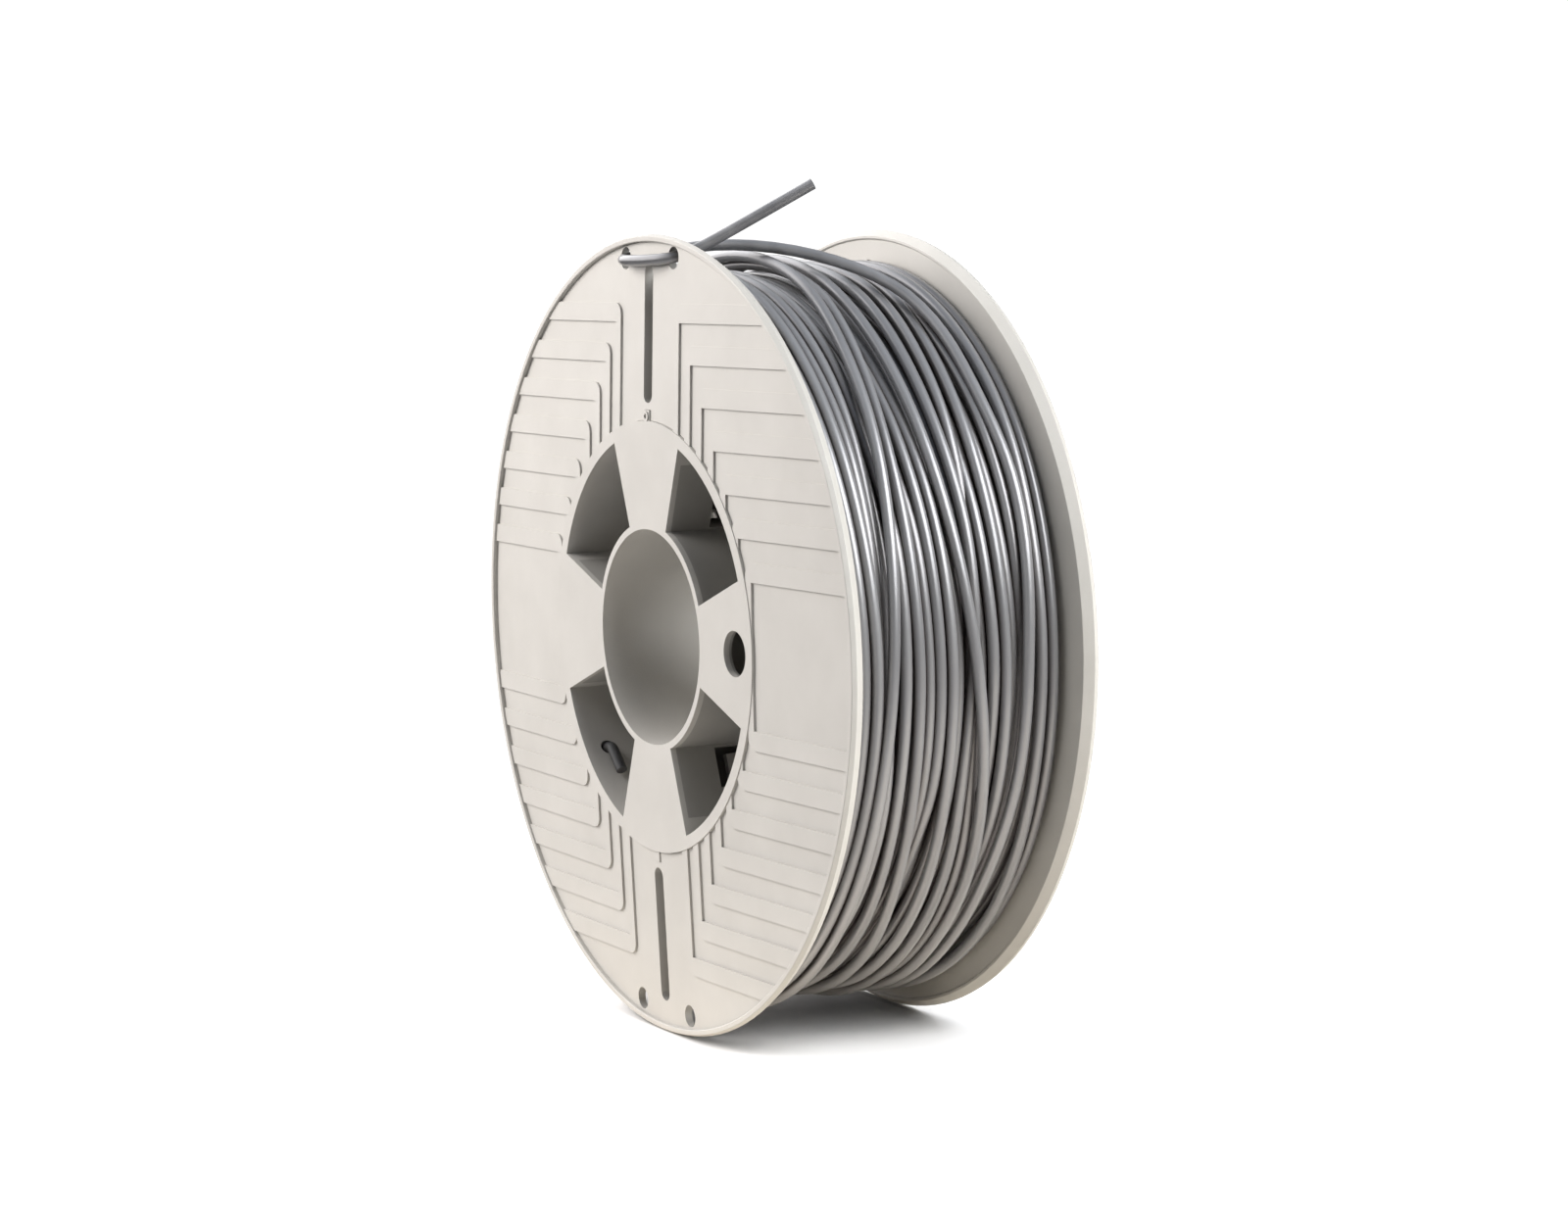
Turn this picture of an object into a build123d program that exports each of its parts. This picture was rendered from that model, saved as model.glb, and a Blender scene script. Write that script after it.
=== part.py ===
from build123d import *
import math
import os

# A spool of thick printer filament. The spool's axis is Y and its front faces -Y.
# The origin is the middle of the bore, +Z is up, and all sizes are in millimetres.

# ---- flanges ----
flange_radius = 100.0          # outside of the rim, at its parting line
rim_face = 33.3                # distance of each rim's outer face from the middle of the spool
rim_front_radius = 99.55       # outside of the rim at its outer face
rim_parting = 1.25             # the rim is widest this far behind its outer face
rim_back_radius = 98.5         # outside of the rim at its inner face
rim_thickness = 3.55           # from the rim's outer face to its inner face
rim_flat_radius = 97.9         # the rim's inner face is flat as far in as this
rim_foot_radius = 97.5         # and has sloped down to the web here
lip_inner_radius = 98.2        # inside of the raised lip around the outer face
web_rim_depth = 1.2            # the outer face lies this far below the lip, beside the lip
web_hub_depth = -0.45          # and this far at the hub, where it stands proud of the lip
web_inner_rim_depth = 3.1      # inner face of the web beside the rim
web_inner_hub_depth = 3.0      # inner face of the web at the hub
edge_round = 0.3               # rounding of the rim's front edges
back_round = 0.2               # rounding of the rim's parting line and inner edge

# ---- raised ribs on the outer faces, nested right angles in each quarter ----
rib_count = 7
rib_height = 0.55
rib_first_x = 14.7             # side of the first rib that is nearer to the slots
rib_first_z = 83.0             # far side of the first rib
rib_pitch_x = 6.05
rib_pitch_z = 10.1
rib_leg_width = 2.75           # the leg that runs along Z
rib_arm_width = 4.7            # the arm that runs along X
rib_corner = 3.0

# ---- slots and holes in the flanges ----
slot_width = 4.6
slot_inner_end = 58.3
slot_outer_end = 92.5
tie_hole_radius = 2.8
tie_hole_x = 13.1
tie_hole_z = 94.1

# ---- hub ----
bore_radius = 27.0
tube_radius = 28.7
window_outer_radius = 50.9
drum_neck_radius = 52.9        # the part that the flange sits on
flange_opening_radius = 53.0
drum_radius = 53.4             # the part that the filament is wound on
drum_gap = 0.05                # between the flange and the drum's shoulder
plate_radius = 54.0
plate_face = 34.5              # distance of the plate's outer face from the middle
plate_thickness = 2.2
spoke_half_angle = 20.3        # degrees, each side of the spoke's middle line
spoke_wall = 1.6
spoke_wall_end = 5.0           # the spoke walls stop this far from the middle of the spool
split_gap = 0.05               # each half stops this far from the middle of the spool
drive_hole_radius = 5.6
drive_hole_x = 45.2
key_width = 3.2                # keys that stop the flange turning on the hub
key_reach = 56.6
key_drop = 0.45                # the keys lie this far below the plate's face
key_clearance = 0.1
gate_z = 55.1                  # moulding gate on the top key
gate_radius = 1.3
gate_height = 0.35

# ---- snap hooks inside the top and bottom spokes ----
catch_near_radius = 29.3
catch_far_radius = 39.6
catch_front = -22.4            # end of the catch window nearer to the front plate
catch_back = -10.4
hook_inner_radius = 31.0
hook_outer_radius = 38.0
hook_thickness = 1.8
hook_clearance = 0.2
hook_tip = -18.5
hook_root_start = 6.0          # the hook is joined to the rear half's wall from here
hook_root = 14.0               # to here
barb_reach = 1.4
barb_clearance = 0.25
barb_land = 1.5                # length of the barb's flat top

# ---- locating ring of the rear half ----
ring_outer_radius = 50.75
ring_inner_radius = 49.3
ring_reach = 4.0
ring_root = 3.0

# ---- filament ----
filament_diameter = 2.85
winding_radius = 90.0
winding_inner_radius = 53.6
winding_half_width = 29.4
winding_shoulder = 4.0         # rounding of the winding's outer edges
anchor_hole_radius = 2.0
anchor_angle = -140.0          # degrees from +X towards +Z
anchor_y = -28.0
start_outside_radius = 53.3
start_inside_radius = 49.1
start_tail = 9.0
start_bend = 3.0
start_sink = 0.9               # its inner end lies this much further in than the bend

# ---- working allowances ----
overlap = 0.3                  # how far shapes that are joined reach into each other
cut_reach = 5.0                # how far a cut runs past the face that it starts from

# The loose end: off the winding, forward over it, out through the left hole, back in
# through the right hole and up to the free end.
tail_points = [
    (68.5, 19.6, 61.8),
    (54.5, 19.0, 76.2),
    (38.5, 15.0, 87.4),
    (21.5, 1.5, 94.9),
    (4.5, -12.5, 97.6),
    (-13.0, -24.0, 95.4),
    (-13.3, -36.2, 93.4),
    (12.3, -34.0, 93.7),
    (13.6, -28.0, 95.2),
    (19.9, -21.0, 99.8),
    (35.2, -2.0, 112.9),
]
fold_radius_left = 3.6
fold_radius_right = 3.0
hole_radius_right = 4.0
gentle_share = 0.45            # share of the shorter run that an arc's tangent takes


def at_depth(radius, depth):
    """Point of a front profile: radius, and depth behind the rim's outer face."""
    return (radius, depth - rim_face)


def revolved(points, rounds=()):
    """Solid of revolution about Y from (radius, y) points. rounds: (point, radius) pairs."""
    profile = make_face(Polyline(*points, close=True))
    for point, radius in rounds:
        corner = profile.vertices().sort_by_distance((point[0], point[1], 0))[0]
        profile = fillet(corner, radius)
    return revolve(profile, Axis.Y)


def ring(inner, outer, y_low, y_high):
    return revolved([(inner, y_low), (outer, y_low), (outer, y_high), (inner, y_high)])


def prism(sketch, y_low, y_high):
    """Extrude a sketch drawn in X and Z from y_low to y_high."""
    placed = Plane(origin=(0, y_high, 0), x_dir=(1, 0, 0), z_dir=(0, -1, 0)) * sketch
    return extrude(placed, amount=y_high - y_low)


def mirrored_to_rear(shape):
    return mirror(shape, Plane.XZ)


def rib_outline(index, side_x, side_z):
    """One right-angled rib, seen from the front, in the quarter given by the two signs."""
    near_x = rib_first_x + index * rib_pitch_x
    far_z = rib_first_z - index * rib_pitch_z
    outer = Pos(near_x + flange_radius / 2, far_z / 2) * Rectangle(flange_radius, far_z)
    corner = outer.vertices().sort_by_distance((near_x, far_z, 0))[0]
    outer = fillet(corner, rib_corner)
    inner_x = near_x + rib_leg_width
    inner_z = far_z - rib_arm_width
    inner_height = inner_z + cut_reach
    inner_place = Pos(inner_x + flange_radius / 2, inner_z - inner_height / 2)
    inner = inner_place * Rectangle(flange_radius, inner_height)
    outline = outer - inner
    if side_x < 0:
        outline = mirror(outline, Plane.YZ)
    if side_z < 0:
        outline = mirror(outline, Plane.XZ)
    return outline


def flange_ribs():
    """All ribs of one outer face, cut from a thin cone that follows the web."""
    layer = revolved([
        at_depth(plate_radius, web_hub_depth - rib_height),
        at_depth(lip_inner_radius + overlap, web_rim_depth - rib_height),
        at_depth(lip_inner_radius + overlap, web_rim_depth + overlap),
        at_depth(plate_radius, web_hub_depth + overlap),
    ])
    ribs = []
    for side_x in (1, -1):
        for side_z in (1, -1):
            for index in range(rib_count):
                outline = rib_outline(index, side_x, side_z)
                block = prism(outline, -rim_face - cut_reach, -rim_face + cut_reach)
                ribs.append(layer & block)
    return ribs


def key_block(reach, width, y_low, y_high):
    """The pair of key-shaped blocks, at the top and bottom of the hub plate."""
    length = reach - tube_radius
    middle = tube_radius + length / 2
    block = prism(Pos(0, middle) * Rectangle(width, length), y_low, y_high)
    return block + mirror(block, Plane.XY)


def flange(with_tie_holes):
    """A flange, built at the front. Only the front one has holes for the filament's end."""
    lip_top = at_depth(lip_inner_radius, 0)
    rim_front = at_depth(rim_front_radius, 0)
    rim_widest = at_depth(flange_radius, rim_parting)
    rim_back = at_depth(rim_back_radius, rim_thickness)
    body = revolved([
        at_depth(flange_opening_radius, plate_thickness - (plate_face - rim_face)),
        at_depth(plate_radius + key_clearance, plate_thickness - (plate_face - rim_face)),
        at_depth(plate_radius + key_clearance, web_hub_depth),
        at_depth(lip_inner_radius, web_rim_depth),
        lip_top,
        rim_front,
        rim_widest,
        rim_back,
        at_depth(rim_flat_radius, rim_thickness),
        at_depth(rim_foot_radius, web_inner_rim_depth),
        at_depth(flange_opening_radius, web_inner_hub_depth),
    ], rounds=[
        (lip_top, edge_round),
        (rim_front, edge_round),
        (rim_widest, back_round),
        (rim_back, back_round),
    ])
    for rib in flange_ribs():
        body = body + rib
    slot_length = slot_outer_end - slot_inner_end
    slot_middle = (slot_outer_end + slot_inner_end) / 2
    for side_z in (1, -1):
        slot = Pos(0, side_z * slot_middle) * Rot(0, 0, 90) * SlotOverall(slot_length, slot_width)
        body = body - prism(slot, -rim_face - cut_reach, -rim_face + cut_reach)
        if with_tie_holes:
            for side_x in (1, -1):
                hole = Pos(side_x * tie_hole_x, side_z * tie_hole_z) * Circle(tie_hole_radius)
                body = body - prism(hole, -rim_face - cut_reach, -rim_face + cut_reach)
    notch = key_block(key_reach + key_clearance, key_width + 2 * key_clearance,
                      -rim_face - cut_reach, -plate_face + plate_thickness)
    return body - notch


def spoke_side_wall(angle, side):
    """One wall under a spoke's edge. angle is the spoke's direction, side is +1 or -1."""
    edge = math.radians(angle + side * spoke_half_angle)
    along = Vector(math.cos(edge), math.sin(edge))
    inwards = Vector(math.sin(edge), -math.cos(edge)) * side
    near = along * (tube_radius - overlap)
    far = along * (window_outer_radius + overlap)
    outline = Polyline(near, far, far + inwards * spoke_wall, near + inwards * spoke_wall, close=True)
    return prism(make_face(outline), -plate_face + plate_thickness - overlap, -spoke_wall_end)


def window_outline(angle):
    """Sector window between two spokes, centred on the given direction in degrees."""
    half = 45 - spoke_half_angle
    start = math.radians(angle - half)
    end = math.radians(angle + half)
    middle = math.radians(angle)
    inner_start = Vector(math.cos(start), math.sin(start)) * tube_radius
    inner_middle = Vector(math.cos(middle), math.sin(middle)) * tube_radius
    inner_end = Vector(math.cos(end), math.sin(end)) * tube_radius
    outer_start = Vector(math.cos(start), math.sin(start)) * window_outer_radius
    outer_middle = Vector(math.cos(middle), math.sin(middle)) * window_outer_radius
    outer_end = Vector(math.cos(end), math.sin(end)) * window_outer_radius
    edges = [
        ThreePointArc(inner_start, inner_middle, inner_end),
        Line(inner_end, outer_end),
        ThreePointArc(outer_end, outer_middle, outer_start),
        Line(outer_start, inner_start),
    ]
    return make_face(edges)


def hub_half():
    """What the two hub halves share, built at the front."""
    plate_back = -plate_face + plate_thickness
    neck_end = web_inner_hub_depth - rim_face + drum_gap
    plate = ring(bore_radius, plate_radius, -plate_face, plate_back)
    for angle in (45, 135, 225, 315):
        plate = plate - prism(window_outline(angle), -plate_face - cut_reach, plate_back + cut_reach)
    body = plate + key_block(key_reach, key_width, -plate_face + key_drop, plate_back)
    tube = ring(bore_radius, tube_radius, -plate_face, -split_gap)
    neck = ring(window_outer_radius, drum_neck_radius, -plate_face + overlap, neck_end)
    drum = ring(window_outer_radius, drum_radius, neck_end, -split_gap)
    body = body + tube + neck + drum
    for angle in (0, 90, 180, 270):
        for side in (1, -1):
            body = body + spoke_side_wall(angle, side)
    gate = prism(Pos(0, gate_z) * (Circle(gate_radius) - Circle(gate_radius / 2)),
                 -plate_face + key_drop - gate_height, -plate_face + key_drop + overlap)
    drive_hole = prism(Pos(drive_hole_x, 0) * Circle(drive_hole_radius),
                       -plate_face - cut_reach, plate_back + cut_reach)
    return body + gate - drive_hole


def spoke_block(angle, side, near, far, inner, outer, y_low, y_high):
    """Block beside a spoke wall: from near to far along the spoke's edge, and from
    inner to outer across it, counted inwards from the wall's outside face."""
    edge = math.radians(angle + side * spoke_half_angle)
    along = Vector(math.cos(edge), math.sin(edge))
    inwards = Vector(math.sin(edge), -math.cos(edge)) * side
    corners = [
        along * near + inwards * inner,
        along * far + inwards * inner,
        along * far + inwards * outer,
        along * near + inwards * outer,
    ]
    return prism(make_face(Polyline(*corners, close=True)), y_low, y_high)


def hub_front_half():
    body = hub_half()
    for angle in (90, 270):
        for side in (1, -1):
            body = body - spoke_block(angle, side, catch_near_radius, catch_far_radius,
                                      -overlap, spoke_wall + overlap, catch_front, catch_back)
    radial = Vector(math.cos(math.radians(anchor_angle)), 0, math.sin(math.radians(anchor_angle)))
    hole_plane = Plane(origin=radial * (window_outer_radius - cut_reach) + Vector(0, anchor_y, 0),
                       x_dir=(0, 1, 0), z_dir=radial)
    anchor_hole = extrude(hole_plane * Circle(anchor_hole_radius), amount=2 * cut_reach)
    return body - anchor_hole


def snap_hook(angle, side):
    """Tongue that runs along the inside of a front spoke wall, with a barb at its tip."""
    inner = spoke_wall + hook_clearance
    tongue = spoke_block(angle, side, hook_inner_radius, hook_outer_radius,
                         inner, inner + hook_thickness, hook_tip, hook_root)
    root = spoke_block(angle, side, hook_inner_radius, hook_outer_radius,
                       spoke_wall - overlap, inner + overlap, hook_root_start, hook_root)
    edge = math.radians(angle + side * spoke_half_angle)
    along = Vector(math.cos(edge), 0, math.sin(edge))
    outwards = Vector(-math.sin(edge), 0, math.cos(edge)) * side
    face = outwards * -inner
    low = along * hook_inner_radius + face
    shoulder_y = catch_back - barb_clearance
    wedge = Polyline(
        low + Vector(0, hook_tip, 0) - outwards * overlap,
        low + Vector(0, hook_tip, 0),
        low + Vector(0, shoulder_y - barb_land, 0) + outwards * barb_reach,
        low + Vector(0, shoulder_y, 0) + outwards * barb_reach,
        low + Vector(0, shoulder_y, 0) - outwards * overlap,
        close=True,
    )
    barb = extrude(make_face(wedge), amount=hook_outer_radius - hook_inner_radius, dir=along)
    return tongue + root + barb


def hub_rear_half():
    body = mirrored_to_rear(hub_half())
    locating = ring(ring_inner_radius, ring_outer_radius, -ring_reach, ring_root)
    locating = locating + ring(ring_inner_radius, window_outer_radius + overlap, 2 * split_gap, ring_root)
    body = body + locating
    for angle in (90, 270):
        for side in (1, -1):
            body = body + snap_hook(angle, side)
    return body


def filament_winding():
    outer_front = (winding_radius, -winding_half_width)
    outer_back = (winding_radius, winding_half_width)
    return revolved([
        (winding_inner_radius, -winding_half_width),
        outer_front,
        outer_back,
        (winding_inner_radius, winding_half_width),
    ], rounds=[(outer_front, winding_shoulder), (outer_back, winding_shoulder)])


def tube_along(points, radii):
    path = FilletPolyline(*points, radius=radii)
    first = Vector(*points[0])
    ahead = Vector(*points[1]) - first
    section = Plane(origin=first, z_dir=ahead) * Circle(filament_diameter / 2)
    solid = sweep(section, path=path)
    share = solid.volume / (math.pi * (filament_diameter / 2) ** 2 * path.length)
    print("tube: length", round(path.length, 1), "volume over section times length", round(share, 4))
    return solid


def corner_radii(points, fixed):
    """Arc radius at each inner corner; fixed gives the tight ones by the corner's number."""
    radii = []
    for number in range(1, len(points) - 1):
        before = Vector(*points[number]) - Vector(*points[number - 1])
        after = Vector(*points[number + 1]) - Vector(*points[number])
        turn = before.get_angle(after)
        gentle = gentle_share * min(before.length, after.length) / math.tan(math.radians(turn / 2))
        radius = min(gentle, fixed.get(number, gentle))
        print("corner", number, "turn", round(turn, 1), "runs", round(before.length, 1),
              round(after.length, 1), "radius", round(radius, 1))
        radii.append(radius)
    return radii


def filament_tail():
    tight = {6: fold_radius_left, 7: fold_radius_right, 8: hole_radius_right}
    return tube_along(tail_points, corner_radii(tail_points, tight))


def filament_start():
    angle = math.radians(anchor_angle)
    radial = Vector(math.cos(angle), 0, math.sin(angle))
    sideways = Vector(-math.sin(angle), 0, math.cos(angle))
    level = Vector(0, anchor_y, 0)
    outside = radial * start_outside_radius + level
    bend = radial * start_inside_radius + level
    far = bend + sideways * start_tail - radial * start_sink
    points = [tuple(outside), tuple(bend), tuple(far)]
    return tube_along(points, [start_bend])


parts = {
    "front_flange": flange(with_tie_holes=True),
    "rear_flange": mirrored_to_rear(flange(with_tie_holes=False)),
    "hub_front_half": hub_front_half(),
    "hub_rear_half": hub_rear_half(),
    "filament_winding": filament_winding(),
    "filament_tail": filament_tail(),
    "filament_start": filament_start(),
}

os.makedirs("parts", exist_ok=True)
for name, shape in parts.items():
    export_step(shape, os.path.join("parts", name + ".step"))
    print(name, "solids", len(shape.solids()), "volume", round(shape.volume))
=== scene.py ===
import math
import random

import bpy
from mathutils import Matrix, Vector


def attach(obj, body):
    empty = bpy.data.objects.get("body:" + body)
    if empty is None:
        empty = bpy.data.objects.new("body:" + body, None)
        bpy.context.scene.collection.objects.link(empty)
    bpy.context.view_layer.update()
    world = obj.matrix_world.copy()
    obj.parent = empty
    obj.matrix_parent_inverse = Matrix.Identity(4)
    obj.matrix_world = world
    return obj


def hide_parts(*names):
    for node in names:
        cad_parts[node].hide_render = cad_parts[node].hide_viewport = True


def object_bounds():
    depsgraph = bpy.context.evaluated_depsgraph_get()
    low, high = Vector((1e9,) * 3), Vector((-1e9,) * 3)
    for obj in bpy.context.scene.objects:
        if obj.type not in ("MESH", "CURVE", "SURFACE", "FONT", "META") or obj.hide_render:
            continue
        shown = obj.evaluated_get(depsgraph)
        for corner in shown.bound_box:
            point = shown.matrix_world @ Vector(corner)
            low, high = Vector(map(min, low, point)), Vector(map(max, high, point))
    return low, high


# A spool of thick printer filament. The CAD model gives the flanges and the hub; this script
# adds the wound filament as one strand, a ring for the turns deeper down, the materials, the
# light and the camera.
# The spool's axis is Y, its front faces -Y, and +Z is up. Lengths are in metres unless a
# name or a comment says mm. An angle round the axis is in degrees, from +X towards +Z.

mm = 0.001

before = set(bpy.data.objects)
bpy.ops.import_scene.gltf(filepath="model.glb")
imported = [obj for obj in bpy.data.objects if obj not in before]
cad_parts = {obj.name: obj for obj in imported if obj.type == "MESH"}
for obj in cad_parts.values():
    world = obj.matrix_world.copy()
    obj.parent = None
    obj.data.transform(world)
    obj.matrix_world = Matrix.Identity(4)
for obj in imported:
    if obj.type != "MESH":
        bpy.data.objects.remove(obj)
cad_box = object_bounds()

# ---- filament: the layers ----
filament_diameter = 0.00285
strand_gap = filament_diameter / mm      # mm between the middles of strands that touch
squeeze = 0.93                 # neighbours in one layer press together to this share of it
outer_level = 88.6             # mm from the axis to the middle of an outer strand
layer_step = 2.45              # mm from one layer to the next
under_layers = 2               # layers below the outer one
under_turns = 19               # turns in each of them
turns_per_sway = 4             # turns of them that sway from side to side together
slow_sway = (0.3, 0.9)         # mm, the range of the sway that comes once a turn
quick_sway = (0.2, 0.5)        # mm, and of the one that comes twice a turn
steps_per_turn = 36
side_limit = 28.25             # mm, the strands' middles stay this near the middle of the spool
tension_passes = 14            # how often each turn is pulled straight over what lies under it

# ---- filament: the outer layer ----
# The turns in the order they were wound. Each has two rows, in mm and at these angles: where
# it lies across the spool, and how far it is sunk between its neighbours.
places = (-72, -54, -36, -18, 0, 18, 36, 54, 72)
unsunk = (0,) * len(places)
outer_turns = (
    ((-27.9, -27.9, -27.9, -27.9, -27.9, -27.9, -27.9, -27.9, -27.9), unsunk),
    ((-24.5, -24.5, -24.6, -24.6, -24.6, -24.8, -24.9, -24.6, -24.2), unsunk),
    ((-20.0, -19.5, -19.2, -19.6, -19.4, -19.7, -19.0, -18.6, -17.6), (2, 2, 2, 1, 1.2, 0, 0, 0, 0)),
    ((-21.5, -22.0, -22.3, -21.9, -21.7, -22.3, -22.2, -21.8, -20.8), unsunk),
    ((-17.0, -16.2, -15.5, -15.9, -16.9, -17.3, -16.3, -15.6, -15.0), (0, 0, 0, 0, 1.5, 1, 0.5, 0, 0)),
    ((-9.5, -9.5, -11.3, -12.8, -13.0, -12.6, -12.8, -12.2, -11.8), (0, 0, 0, 0, 0, 0, 1.5, 0, 0)),
    ((-6.0, -6.0, -5.6, -6.1, -6.8, -7.3, -7.0, -6.5, -6.0), (2, 2, 1.5, 0, 0, 0, 2, 2, 2)),
    ((-3.0, -3.0, -4.0, -3.5, -4.1, -4.8, -5.0, -4.0, -2.0), (2, 2, 1, 0, 0, 0, 0, 2, 2)),
    ((4.0, 2.3, 0.9, -0.6, -1.0, -1.6, -1.5, -1.0, 1.0), (0, 0, 0, 0, 0, 0, 0.7, 2, 2)),
    ((7.0, 5.0, 3.4, 2.0, 2.0, 1.1, 0.5, 1.0, 3.0), (2, 2, 1.5, 0.8, 0.8, 1, 2, 2, 2)),
    ((-2.0, -3.7, -7.0, -9.2, -9.8, -10.1, -9.0, -6.0, -2.6), unsunk),
    ((-18.0, -18.8, -19.7, -19.6, -18.1, -15.6, -12.5, -10.0, -6.6), unsunk),
    ((12.0, 11.4, 9.9, 7.7, 7.3, 8.2, 9.7, 10.9, 13.0), (0, 0, 0, 1, 2, 2, 0, 0, 0)),
    ((8.0, 7.5, 6.6, 4.9, 6.0, 6.8, 6.1, 6.8, 8.7), (0, 0, 0, 0.5, 0.5, 0, 0, 0, 0)),
    ((15.0, 14.5, 13.5, 12.6, 10.8, 10.0, 11.2, 13.0, 15.0), (2, 2, 2, 1.5, 0, 0, 1.5, 2, 2)),
    ((17.0, 16.5, 15.6, 14.9, 14.0, 13.5, 13.7, 15.0, 17.5), (2, 1.5, 0.5, 0, 0, 0, 0, 0, 0)),
    ((19.5, 18.0, 17.0, 16.6, 16.7, 16.1, 16.2, 16.5, 16.5), (2, 2, 2, 1.5, 1, 0.6, 1, 2.4, 2.4)),
    ((21.0, 20.0, 19.0, 19.3, 19.4, 19.1, 18.9, 18.2, 18.8), (2, 2, 2, 2, 1.5, 0, 0, 0, 0.5)),
    ((14.5, 13.0, 12.0, 9.0, 5.1, 2.0, 0.7, 0.5, 1.4), unsunk),
    ((28.0, 28.0, 28.0, 27.4, 26.8, 27.2, 28.0, 28.2, 28.2), unsunk),
    ((25.0, 25.6, 24.6, 23.6, 23.4, 23.8, 25.0, 25.2, 25.4), unsunk),
    ((19.5, 18.1, 17.7, 19.0, 19.0, 20.9, 20.8, 20.0, 19.0), unsunk),
)
last_coiled_angle = 30         # the loose end leaves the winding after this place on the last turn
fully_sunk = 0.6               # mm; a turn sunk this far or more lies at its depth, whatever is under it

# On the side away from the camera a turn drifts to where the next one starts. It is in the
# middle at the second of these angles, and this share of the way there at the other two.
drift_angles = (112, 180, 248)
drift_share = 0.3

# Where the outer strands stand off what lies under them: the angle, the width of the rise in
# degrees and its height in mm. Towards the rear, from the first y to the second, the top
# rises more, by the third number. All three are in mm.
loose_bottom = (-88, 30, 2.2)
loose_top = (84, 25, 0.8)
loose_rear = (8, 24, 1.7)

# ---- filament: the loose end ----
# Off the winding, forward over it, out through the left hole of the front flange, back in
# through the right hole and up to the free end.
tail_points = (
    (0.0685, 0.0196, 0.0618),
    (0.0545, 0.0190, 0.0762),
    (0.0385, 0.0150, 0.0874),
    (0.0215, 0.0015, 0.0949),
    (0.0045, -0.0125, 0.0976),
    (-0.0130, -0.0240, 0.0954),
    (-0.0133, -0.0362, 0.0934),
    (0.0123, -0.0340, 0.0937),
    (0.0136, -0.0280, 0.0952),
    (0.0199, -0.0210, 0.0998),
    (0.0352, -0.0020, 0.1129),
)

# ---- filament: the turns deeper down, as one ring, in mm ----
core_inner = 53.6
core_half = 29.0
core_groove = 1.1              # depth of the grooves between its turns
core_ridge_points = 6          # points round one ridge
core_segments = 180

# ---- filament: the material ----
# Two tones and two roughnesses, between which it changes, and the weight of its clear coat.
filament_look = (((0.255, 0.257, 0.267), (0.325, 0.327, 0.337)), (0.29, 0.36), 0.25)
# The filament's start inside the hub: a duller copy without coat, whose darker tones are painted shade.
dull_painted_shade_end_look = (((0.12, 0.12, 0.12), (0.15, 0.15, 0.15)), (0.5, 0.6), 0.0)
streaks_along_across = (3.0, 700.0)      # drawing lines: noise per radian round, and per metre across
shades_along_across = (1.3, 260.0)       # slow changes of tone, likewise
streaks_end = (0.0925, 0.0945) # from the axis: the drawing lines fade out there, below the loose end

# Painted shade between the strands: where ambient occlusion finds a groove, the filament's colour is made
# darker and browner. How far that reaches, and the share of the colour that is left in a groove and on the
# open surface.
painted_groove_shade_reach = 0.003
painted_groove_shade_stops = ((0.25, (0.22, 0.17, 0.14)), (0.82, (1.0, 1.0, 1.0)))

# ---- all materials ----
bump_depth = 0.0001
noise_span = (0.3, 0.7)        # most of the noise lies between these

# ---- plastic ----
plastic_tones = ((0.437, 0.426, 0.398), (0.471, 0.460, 0.431))
plastic_roughness = (0.42, 0.62)
cloud_scale = 60.0             # noise per metre: the cloudiness
grain_scale = 2600.0           # and the grain of the surface

# Painted shade inside the hub: between the bore tube and the drum the plastic's colour is darkened to this
# share, for the shade that falls in there.
hub_painted_shade_zone = (27.4, 46.5, 33.0)          # mm: from this radius to that one, this far from the middle
hub_painted_shade_share = 0.64

# ---- camera ----
camera_place = (0.80221, -0.43155, 0.10010)
camera_azimuth = 61.516        # degrees round from the -Y side towards +X
camera_elevation = 5.963
camera_roll = -1.101
camera_lens = 82.85            # mm
camera_sensor = 36             # mm wide

# ---- studio ----
plain_white = 1.1              # the background: bright enough to show as plain white
floor_half = 40
floor_fade = (0.18, 0.60)      # from the spool: the table that is seen runs over into plain white
# Painted shadow under the spool: the floor's colour is darkened where ambient occlusion finds the spool
# near.
painted_shadow_reach = 0.015          # how far the dark patch under the spool reaches
painted_shadow_stops = ((0.2, (0.30, 0.31, 0.32)), (0.7, (1.17, 1.17, 1.17)))   # in the patch and outside it
table_in_front = (0.38, 0.38, 0.385)     # what the table gives back on the side of the front flange
table_beside = (0.97, 0.89, 0.77)        # and elsewhere
table_turn = (-0.11, -0.03)              # Y where the one runs over into the other
table_stops = ((0.22, (1.0, 1.0, 1.0)), (0.50, (0.08, 0.08, 0.09)))      # it gives back less far away

# Soft patches of light on the walls: the direction, the cosines of the angles from it at
# which the patch begins and is full, and the colour.
wall_lights = (
    ((0.0, 0.0, 1.0), (0.35, 0.85), (0.19, 0.226, 0.286)),
    ((-0.9, -0.42, 0.1), (0.6, 0.85), (1.95, 1.88, 1.88)),
    ((-0.4, -0.9, 0.15), (0.6, 0.85), (0.88, 0.85, 0.83)),
    ((-0.88, 0.10, 0.43), (0.89, 0.96), (1.4, 1.4, 1.4)),
)

# Softboxes: the direction, the distance, the width and height, the brightness and the colour.
white = (1.0, 1.0, 1.0)
softboxes = {
    "key": ((0.76, 0.30, 0.585), 1.3, (1.2, 0.85), 8.0, white),
    "front": ((-0.43, -0.70, 0.45), 0.6, (0.4, 0.4), 7.7, (1.05, 1.0, 0.97)),
    "inner": ((0.35, -0.62, 0.70), 0.6, (0.3, 0.3), 2.9, white),
    "back": ((0.71, 0.70, 0.0), 1.3, (0.25, 0.25), 45, white),
}


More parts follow.
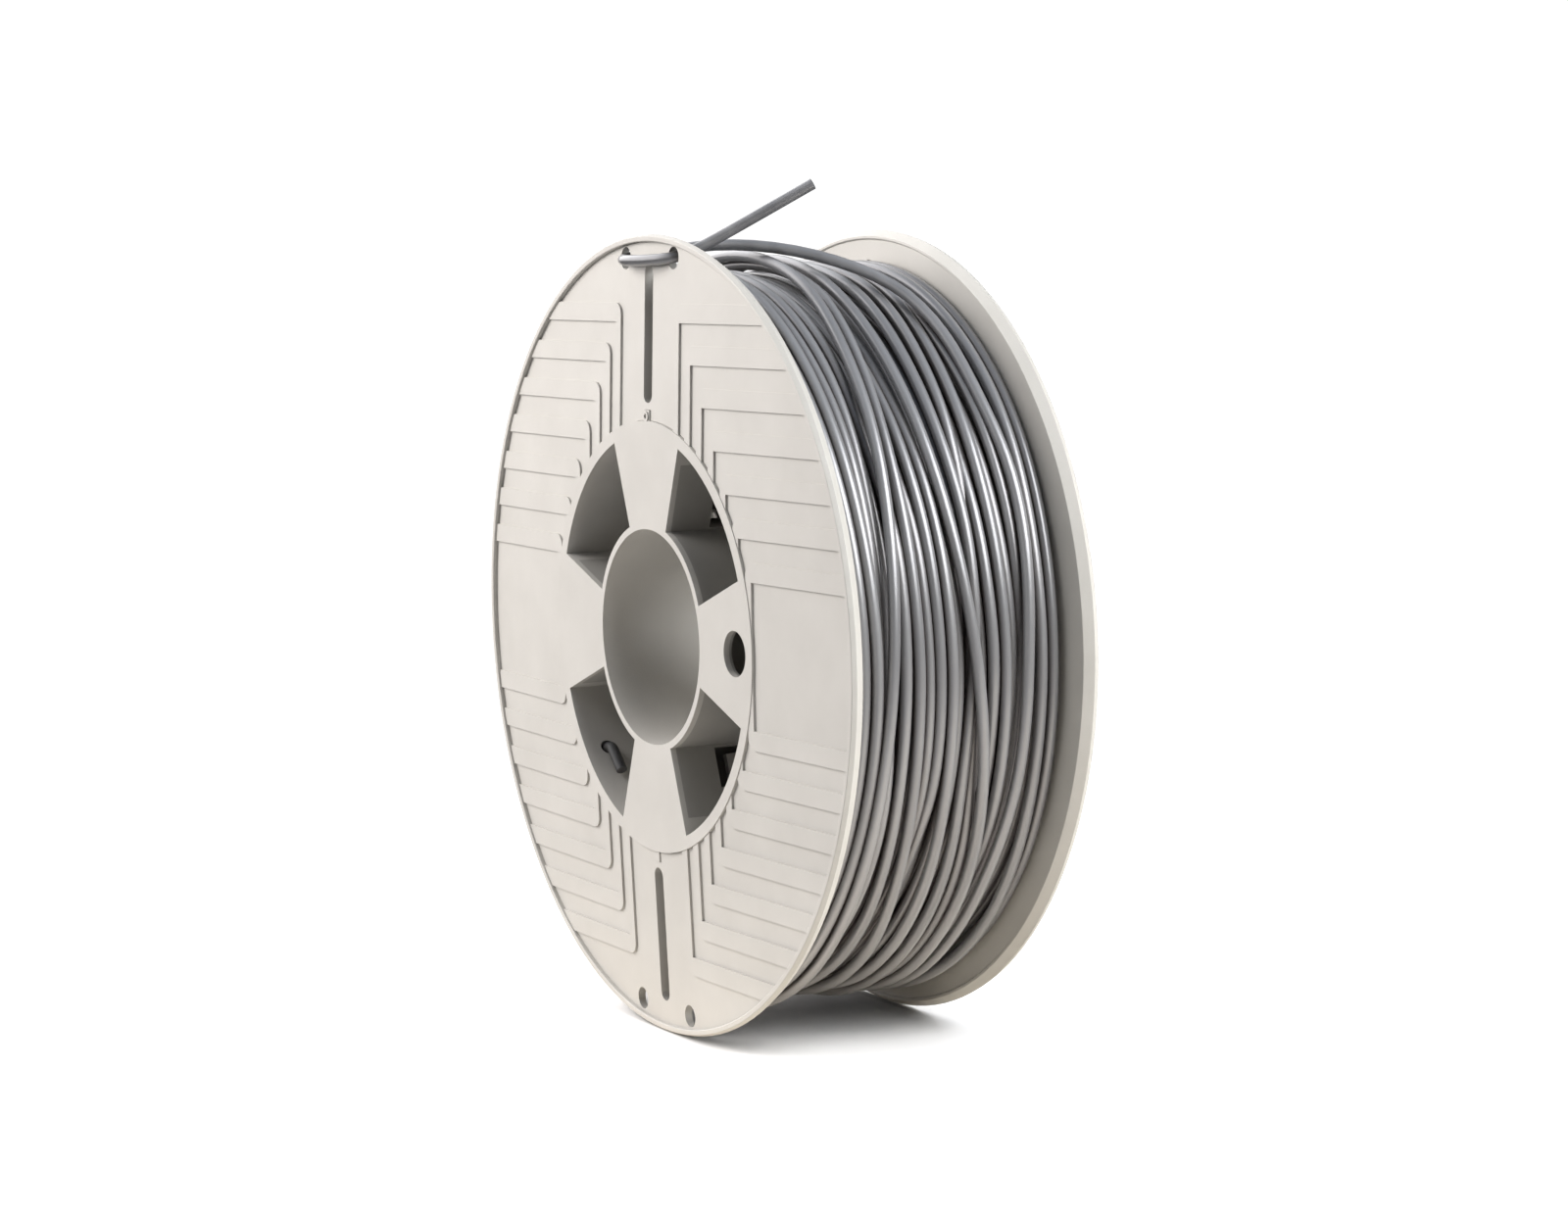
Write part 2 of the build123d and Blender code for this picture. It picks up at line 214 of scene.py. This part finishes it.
def add_camera():
    azimuth, elevation, roll = (math.radians(a) for a in (camera_azimuth, camera_elevation, camera_roll))
    back = Vector((math.sin(azimuth) * math.cos(elevation), -math.cos(azimuth) * math.cos(elevation),
                   math.sin(elevation)))
    level_right = Vector((0, 0, 1)).cross(back).normalized()
    level_up = back.cross(level_right)
    right = level_right * math.cos(roll) + level_up * math.sin(roll)
    up = level_up * math.cos(roll) - level_right * math.sin(roll)
    turn = Matrix((right, up, back)).transposed().to_4x4()
    data = bpy.data.cameras.new("camera")
    data.lens = camera_lens
    data.sensor_width = camera_sensor
    data.sensor_fit = "HORIZONTAL"
    data.clip_start = 0.01
    camera = bpy.data.objects.new("camera", data)
    camera.matrix_world = Matrix.Translation(camera_place) @ turn
    bpy.context.scene.collection.objects.link(camera)
    bpy.context.scene.camera = camera


# ---- the winding ----
def along_knots(knots, at):
    """Smooth value at `at` through (place, value) knots, by cubic Hermite pieces."""
    index = 0
    while index < len(knots) - 2 and knots[index + 1][0] <= at:
        index += 1
    (x0, y0), (x1, y1) = knots[index], knots[index + 1]
    before = knots[max(index - 1, 0)]
    after = knots[min(index + 2, len(knots) - 1)]
    slope0 = (y1 - before[1]) / (x1 - before[0])
    slope1 = (after[1] - y0) / (after[0] - x0)
    width = x1 - x0
    t = min(max((at - x0) / width, 0), 1)
    return ((2 * t ** 3 - 3 * t ** 2 + 1) * y0 + (t ** 3 - 2 * t ** 2 + t) * width * slope0
            + (3 * t ** 2 - 2 * t ** 3) * y1 + (t ** 3 - t ** 2) * width * slope1)


def outer_knots():
    """(angle, mm across) and (angle, mm sunk) knots for the outer layer, turn after turn."""
    nearest = places.index(0)
    leaving, behind, arriving = drift_angles
    across, sunk = [], []
    for number, (turn, depths) in enumerate(outer_turns):
        start = 360 * number
        across += [(start + angle, y) for angle, y in zip(places, turn)]
        sunk += [(start + angle, depth) for angle, depth in zip(places, depths)]
        if number + 1 < len(outer_turns):
            following = outer_turns[number + 1][0]
            middle = (turn[nearest] + following[nearest]) / 2
            across.append((start + leaving, turn[-1] + drift_share * (middle - turn[-1])))
            across.append((start + behind, middle))
            across.append((start + arriving, following[0] + drift_share * (middle - following[0])))
            sunk += [(start + leaving, 0), (start + arriving, 0)]
    return across, sunk


def looseness(angle, y):
    """mm that an outer strand stands off what lies under it."""
    def rise(middle, width):
        return math.exp(-((angle - middle) / width) ** 2)
    bottom_angle, bottom_width, bottom = loose_bottom
    top_angle, top_width, top = loose_top
    rear_from, rear_to, rear = loose_rear
    share = min(max((y - rear_from) / (rear_to - rear_from), 0), 1)
    return bottom * rise(bottom_angle, bottom_width) + (top + rear * share) * rise(top_angle, top_width)


def angle_at(step):
    """Each turn starts on the side away from the camera."""
    return -180 + 360 * step / steps_per_turn


def under_across(turn, step, sway):
    """mm across of a turn below the outer layer: it travels to the other side and sways a little."""
    progress = (turn % under_turns + step / steps_per_turn) / under_turns
    direction = 1 if turn < under_turns else -1
    wave, phase, quick_wave, quick_phase = sway
    slow = wave * math.cos(math.radians(angle_at(step) - phase))
    quick = quick_wave * math.cos(math.radians(2 * angle_at(step) - quick_phase))
    fade_at_sides = 1 - abs(2 * progress - 1) ** 4
    return direction * side_limit * (2 * progress - 1) + fade_at_sides * (slow + quick)


def held_up(y, rest, lying, layer):
    """mm from the axis of a strand: at its resting level, or higher where it lies on others."""
    radius = rest
    for other_y, other_radius, other_layer in lying:
        reach = strand_gap * (squeeze if other_layer == layer else 1)
        apart = reach ** 2 - (y - other_y) ** 2
        if apart > 0:
            radius = max(radius, other_radius + math.sqrt(apart))
    return radius


def pulled_straight(lowest, sunk_shares, ahead):
    """A turn's radii under tension: straight between the places that hold it up."""
    radii = list(lowest)
    for _ in range(tension_passes):
        for step in range(steps_per_turn):
            before = radii[step - 1] if step else ahead
            after = radii[step + 1] if step + 1 < steps_per_turn else radii[step]
            radii[step] = max(lowest[step], (before + after) / 2 * (1 - sunk_shares[step]))
    return radii


def winding_path():
    """Control points of the coiled part, in mm: the layers below, then the outer layer."""
    turns_below = under_layers * under_turns
    turns = turns_below + len(outer_turns)
    rng = random.Random(11)
    sways = [(rng.uniform(*slow_sway), rng.uniform(0, 360), rng.uniform(*quick_sway), rng.uniform(0, 360))
             for _ in range(math.ceil(turns_below / turns_per_sway))]
    across, sunk = outer_knots()
    laid = [[] for _ in range(steps_per_turn)]
    path = []
    for turn in range(turns):
        layer = min(turn // under_turns, under_layers)
        layer_level = outer_level - (under_layers - layer) * layer_step
        ys, lowest, sunk_shares = [], [], []
        for step in range(steps_per_turn):
            if layer < under_layers:
                y = under_across(turn, step, sways[turn // turns_per_sway])
                rest = layer_level
                sunk_share = 0
            else:
                place = 360 * (turn - turns_below) + angle_at(step)
                y = along_knots(across, place)
                depth = max(along_knots(sunk, place), 0)
                rest = layer_level + looseness(angle_at(step), y) - depth
                sunk_share = min(depth / fully_sunk, 1)
            y = min(max(y, -side_limit), side_limit)
            held = held_up(y, rest, laid[step], layer)
            ys.append(y)
            lowest.append(held + (rest - held) * sunk_share)
            sunk_shares.append(sunk_share)
        radii = pulled_straight(lowest, sunk_shares, path[-1][1] if path else lowest[0])
        for step in range(steps_per_turn):
            laid[step].append((ys[step], radii[step], layer))
            path.append((angle_at(step) + 360 * turn, radii[step], ys[step]))
    last = 360 * (turns - 1) + last_coiled_angle
    # The curve runs inside its control points by this share, so they are set further out.
    shrink = 0.75 + 0.25 * math.cos(2 * math.pi / steps_per_turn)
    return [(radius / shrink * math.cos(math.radians(angle)), y,
             radius / shrink * math.sin(math.radians(angle)))
            for angle, radius, y in path if angle <= last]


def add_strand(material):
    """The wound filament and its loose end, as one cord."""
    points = [Vector(p) * mm for p in winding_path()] + [Vector(p) for p in tail_points]
    curve = bpy.data.curves.new("filament_strand", "CURVE")
    curve.dimensions = "3D"
    spline = curve.splines.new("NURBS")
    spline.points.add(len(points) - 1)
    for point, place in zip(spline.points, points):
        point.co = (*place, 1)
    spline.order_u = 3
    spline.use_endpoint_u = True
    spline.resolution_u = 4
    spline.use_smooth = True
    curve.resolution_u = 4
    curve.bevel_depth = filament_diameter / 2
    curve.bevel_resolution = 4
    curve.use_fill_caps = True
    curve.materials.append(material)
    strand = bpy.data.objects.new("filament_strand", curve)
    bpy.context.scene.collection.objects.link(strand)
    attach(strand, "root")
    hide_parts("filament_winding", "filament_tail")


def add_core(material):
    """The inner turns, which only show through the slots, as one ridged ring."""
    outer = outer_level - under_layers * layer_step - strand_gap / 2
    ridges = int((outer - core_inner) / strand_gap)
    steps = ridges * core_ridge_points
    profile = []
    for side, order in ((-1, range(steps)), (1, range(steps, 0, -1))):
        for step in order:
            depth = core_groove * (1 - abs(math.sin(math.pi * step / core_ridge_points)))
            profile.append((core_inner + (outer - core_inner) * step / steps, side * (core_half - depth)))
    vertices, faces = [], []
    for segment in range(core_segments):
        angle = 2 * math.pi * segment / core_segments
        for radius, y in profile:
            vertices.append((radius * mm * math.cos(angle), y * mm, radius * mm * math.sin(angle)))
    size = len(profile)
    for segment in range(core_segments):
        here = segment * size
        there = (segment + 1) % core_segments * size
        for index in range(size):
            following = (index + 1) % size
            faces.append((here + index, here + following, there + following, there + index))
    mesh = bpy.data.meshes.new("filament_core")
    mesh.from_pydata(vertices, [], faces)
    mesh.validate()
    mesh.shade_smooth()
    mesh.materials.append(material)
    core = bpy.data.objects.new("filament_core", mesh)
    bpy.context.scene.collection.objects.link(core)
    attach(core, "root")


# ---- shader nodes ----
def feed(tree, node, inputs):
    """Give a node's inputs their values, or link them to the sockets that feed them."""
    for name, value in inputs.items():
        if isinstance(value, bpy.types.NodeSocket):
            tree.links.new(value, node.inputs[name])
        else:
            node.inputs[name].default_value = value


def add_node(tree, kind, inputs, **settings):
    """A new node with its inputs, which are named by a word or a number, and its settings."""
    node = tree.nodes.new("ShaderNode" + kind)
    for name, value in settings.items():
        setattr(node, name, value)
    feed(tree, node, inputs)
    return node


def compute(tree, operation, *inputs):
    """A number worked out from others."""
    return add_node(tree, "Math", dict(enumerate(inputs)), operation=operation).outputs[0]


def combine(tree, operation, *inputs):
    """A vector worked out from others."""
    return add_node(tree, "VectorMath", dict(enumerate(inputs)), operation=operation).outputs["Vector"]


def length_of(tree, vector):
    return add_node(tree, "VectorMath", {0: vector}, operation="LENGTH").outputs["Value"]


def scale_by(tree, vector, share):
    return add_node(tree, "VectorMath", {0: vector, "Scale": share}, operation="SCALE").outputs["Vector"]


def noise(tree, where, **inputs):
    return add_node(tree, "TexNoise", {"Vector": where, **inputs}).outputs["Fac"]


def map_range(tree, value, from_range=(0.0, 1.0), to_range=(0.0, 1.0), curve="LINEAR"):
    return add_node(tree, "MapRange", {
        "Value": value, "From Min": from_range[0], "From Max": from_range[1],
        "To Min": to_range[0], "To Max": to_range[1]}, interpolation_type=curve).outputs["Result"]


def colour_ramp(tree, value, stops):
    """The colour for a value, which runs from one (value, colour) stop to the other."""
    ramp = add_node(tree, "ValToRGB", {"Fac": value})
    for element, (place, colour) in zip(ramp.color_ramp.elements, stops):
        element.position = place
        element.color = (*colour, 1)
    return ramp.outputs["Color"]


def openness(tree, reach):
    """1 on an open surface, and less in a groove or under something."""
    return add_node(tree, "AmbientOcclusion", {"Distance": reach}, samples=2).outputs["AO"]


def bump(tree, height, strength):
    """A normal, for relief that is too fine to model."""
    inputs = {"Height": height, "Strength": strength, "Distance": bump_depth}
    return add_node(tree, "Bump", inputs).outputs["Normal"]


def by_viewer(tree, for_spool, for_camera):
    """One shader for what the camera sees itself, and another for the light that the spool gets."""
    camera_sees = tree.nodes.new("ShaderNodeLightPath").outputs["Is Camera Ray"]
    return add_node(tree, "MixShader", {0: camera_sees, 1: for_spool, 2: for_camera}).outputs[0]


def object_place(tree):
    return tree.nodes.new("ShaderNodeTexCoord").outputs["Object"]


def xyz_of(tree, vector):
    return add_node(tree, "SeparateXYZ", {0: vector}).outputs


def radius_of(tree, xyz):
    """The distance from the spool's axis."""
    return length_of(tree, add_node(tree, "CombineXYZ", {"X": xyz["X"], "Z": xyz["Z"]}).outputs[0])


def new_material(name):
    material = bpy.data.materials.new(name)
    material.use_nodes = True
    return material, material.node_tree


# ---- materials ----
def filament_material(name, tones, roughness, coat):
    """Silver grey filament: glossy, with faint drawing lines and slow changes along each strand."""
    material, tree = new_material(name)
    xyz = xyz_of(tree, object_place(tree))
    radius = radius_of(tree, xyz)
    # Unrolled round the axis, so that the noise runs along the strands.
    unrolled = add_node(tree, "CombineXYZ", {
        "X": compute(tree, "ARCTAN2", xyz["Z"], xyz["X"]), "Y": xyz["Y"], "Z": radius}).outputs[0]

    def strand_noise(frequency, **inputs):
        along, across = frequency
        return noise(tree, combine(tree, "MULTIPLY", unrolled, (along, across, across)), Scale=1.0, **inputs)

    shades = strand_noise(shades_along_across, Detail=1.0)
    streaks = strand_noise(streaks_along_across, Detail=3.0, Roughness=0.6)
    wound = map_range(tree, radius, streaks_end, (1.0, 0.0))
    lines = compute(tree, "MULTIPLY_ADD", compute(tree, "SUBTRACT", streaks, 0.5), wound, 0.5)
    colour = colour_ramp(tree, shades, tuple(zip(noise_span, tones)))
    # Painted shade: the colour is darkened and browned where the strands meet.
    groove = colour_ramp(tree, openness(tree, painted_groove_shade_reach), painted_groove_shade_stops)
    feed(tree, tree.nodes["Principled BSDF"], {
        "Base Color": combine(tree, "MULTIPLY", colour, groove),
        "Metallic": 0.35,
        "Specular IOR Level": 0.5,
        "Coat Weight": coat,
        "Coat Roughness": 0.17,
        "Roughness": map_range(tree, lines, noise_span, roughness),
        "Normal": bump(tree, lines, strength=0.12),
    })
    return material


def plastic_material():
    """Pale warm grey moulded plastic: a fine even grain and a slight cloudiness, with painted shade inside
    the hub.
    """
    material, tree = new_material("spool_plastic")
    place = object_place(tree)
    xyz = xyz_of(tree, place)
    clouds = noise(tree, place, Scale=cloud_scale, Detail=3.0, Roughness=0.55)
    colour = colour_ramp(tree, clouds, tuple(zip(noise_span, plastic_tones)))
    # Painted shade: inside the hub, between the bore tube and the drum, the colour is darkened.
    inner, outer, half = (size * mm for size in hub_painted_shade_zone)
    between = compute(tree, "COMPARE", radius_of(tree, xyz), (inner + outer) / 2, (outer - inner) / 2)
    inside = compute(tree, "MULTIPLY", between, compute(tree, "COMPARE", xyz["Y"], 0, half))
    share = map_range(tree, inside, to_range=(1.0, hub_painted_shade_share))
    grain = noise(tree, place, Scale=grain_scale, Detail=2.0, Roughness=0.6)
    feed(tree, tree.nodes["Principled BSDF"], {
        "Base Color": scale_by(tree, colour, share),
        "Roughness": map_range(tree, grain, to_range=plastic_roughness),
        "Normal": bump(tree, grain, strength=0.2),
    })
    return material


def floor_material():
    """A white table. The camera sees it run over into plain white, with a painted shadow under the spool,
    and the spool gets light back from the table near it only, and more from beside it than from in front."""
    material, tree = new_material("floor")
    tree.nodes.remove(tree.nodes["Principled BSDF"])
    place = object_place(tree)
    away = length_of(tree, place)
    beside = map_range(tree, xyz_of(tree, place)["Y"], table_turn)
    colour = colour_ramp(tree, beside, ((0.0, table_in_front), (1.0, table_beside)))
    table = combine(tree, "MULTIPLY", colour, colour_ramp(tree, away, table_stops))
    # Painted shadow: the floor's colour is darkened near the spool.
    painted_contact_shadow = colour_ramp(tree, openness(tree, painted_shadow_reach), painted_shadow_stops)
    seen = add_node(tree, "MixShader", {
        0: map_range(tree, away, floor_fade, curve="SMOOTHSTEP"),
        1: add_node(tree, "BsdfDiffuse", {"Color": painted_contact_shadow}).outputs[0],
        2: add_node(tree, "Emission", {"Color": (plain_white, plain_white, plain_white, 1)}).outputs[0],
    }).outputs[0]
    returned = add_node(tree, "BsdfDiffuse", {"Color": table}).outputs[0]
    feed(tree, tree.nodes["Material Output"], {"Surface": by_viewer(tree, returned, seen)})
    return material


# ---- light and floor ----
def add_floor(material):
    mesh = bpy.data.meshes.new("floor")
    height = cad_box[0][2]
    corners = ((-1, -1), (1, -1), (1, 1), (-1, 1))
    mesh.from_pydata([(x * floor_half, y * floor_half, height) for x, y in corners], [], [(0, 1, 2, 3)])
    mesh.materials.append(material)
    floor = bpy.data.objects.new("floor", mesh)
    bpy.context.scene.collection.objects.link(floor)
    return floor


def add_world():
    """A white studio: the camera sees plain white, the spool sees a dim room with lit walls."""
    world = bpy.data.worlds.new("studio")
    bpy.context.scene.world = world
    world.use_nodes = True
    tree = world.node_tree
    looking = tree.nodes.new("ShaderNodeTexCoord").outputs["Generated"]
    total = (0.0, 0.0, 0.0)
    for direction, edge_and_middle, colour in wall_lights:
        facing = add_node(tree, "VectorMath", {0: looking, 1: Vector(direction).normalized()},
                          operation="DOT_PRODUCT").outputs["Value"]
        patch = map_range(tree, facing, edge_and_middle, curve="SMOOTHSTEP")
        total = combine(tree, "ADD", total, scale_by(tree, colour, patch))
    room = tree.nodes["Background"]
    feed(tree, room, {"Color": total})
    backdrop = add_node(tree, "Background", {"Color": (*white, 1), "Strength": plain_white})
    surface = by_viewer(tree, room.outputs[0], backdrop.outputs[0])
    feed(tree, tree.nodes["World Output"], {"Surface": surface})


def add_softbox(name, towards, distance, size, brightness, colour):
    """A softbox that stands in the given direction and faces the spool."""
    direction = Vector(towards).normalized()
    data = bpy.data.lights.new(name, "AREA")
    data.shape = "RECTANGLE"
    data.size, data.size_y = size
    data.energy = brightness * math.pi * size[0] * size[1]
    data.color = colour
    light = bpy.data.objects.new(name, data)
    light.location = direction * distance
    light.rotation_euler = (-direction).to_track_quat("-Z", "Y").to_euler()
    bpy.context.scene.collection.objects.link(light)
    return light


def light_only(light, things):
    """Screen the light off from everything but these."""
    group = bpy.data.collections.new("lit_by_" + light.name)
    for thing in things:
        group.objects.link(thing)
    light.light_linking.receiver_collection = group


def set_material(node, material):
    """Give a piece of the CAD model its material."""
    node.data.materials.clear()
    node.data.materials.append(material)


# ---- the scene ----
add_camera()
filament = filament_material("filament", *filament_look)
add_strand(filament)
add_core(filament)
# The filament's start, in the hub's shade, gets the darker copy: painted shade.
set_material(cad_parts["filament_start"], filament_material("filament_end_painted_shade", *dull_painted_shade_end_look))

rear_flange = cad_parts["rear_flange"]
mouldings = [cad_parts["front_flange"], rear_flange,
             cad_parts["hub_front_half"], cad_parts["hub_rear_half"]]
plastic = plastic_material()
for moulding in mouldings:
    set_material(moulding, plastic)

floor = add_floor(floor_material())
add_world()
only_on = {"front": [*mouldings, floor], "inner": [rear_flange], "back": mouldings}
for name, softbox in softboxes.items():
    light = add_softbox(name, *softbox)
    if name in only_on:
        light_only(light, only_on[name])
bpy.context.scene.view_settings.view_transform = "Standard"
